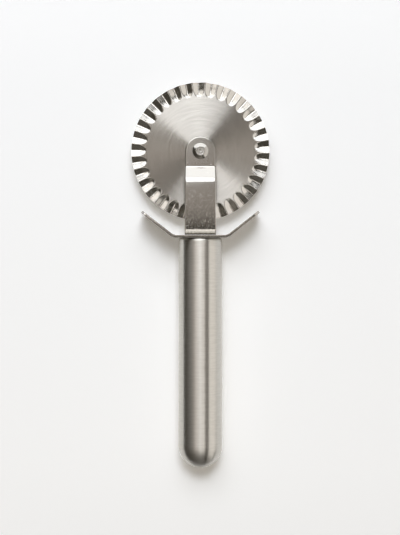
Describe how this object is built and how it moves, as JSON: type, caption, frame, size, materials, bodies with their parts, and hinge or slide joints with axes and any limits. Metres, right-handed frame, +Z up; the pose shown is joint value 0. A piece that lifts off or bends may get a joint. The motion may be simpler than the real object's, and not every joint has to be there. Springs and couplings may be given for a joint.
{
  "type": "fluted pastry wheel",
  "caption": "Hand tool with a fluted cutting wheel rolling on a riveted axle in a bent strap fork, a winged finger guard and a round tubular handle with a domed end.",
  "frame": {"origin": "on the table that the tool lies on, under the middle of its outline", "axes": "+Y along the tool towards the wheel, +Z up along the wheel's axle, +X across the tool"},
  "size_m": [0.06, 0.1673, 0.019],
  "materials": {
    "turned_steel": "turned, with fine rings about the axle",
    "rivet_steel": "bright, with spun marks on the worked face",
    "strap_steel": "tumbled satin sheet",
    "handle_steel": "satin, brushed round the handle",
    "screw_steel": "plain bright"
  },
  "bodies": {
    "frame": {"axle_rivet": "rivet_steel", "axle_sleeve": "rivet_steel", "front_hub_washer": "rivet_steel", "rear_hub_washer": "rivet_steel", "fork": "strap_steel", "guard": "strap_steel", "handle_tube": "handle_steel", "handle_plug": "screw_steel", "fork_screw": "screw_steel", "lock_washer": "screw_steel"},
    "wheel": {"fluted_wheel": "turned_steel"}
  },
  "joints": [
    {"name": "wheel_spin", "type": "hinge", "parent": "frame", "child": "wheel", "pos_m": [0, 0.05365, 0.0095], "axis": [0, 0, 1], "continuous": true}
  ]
}
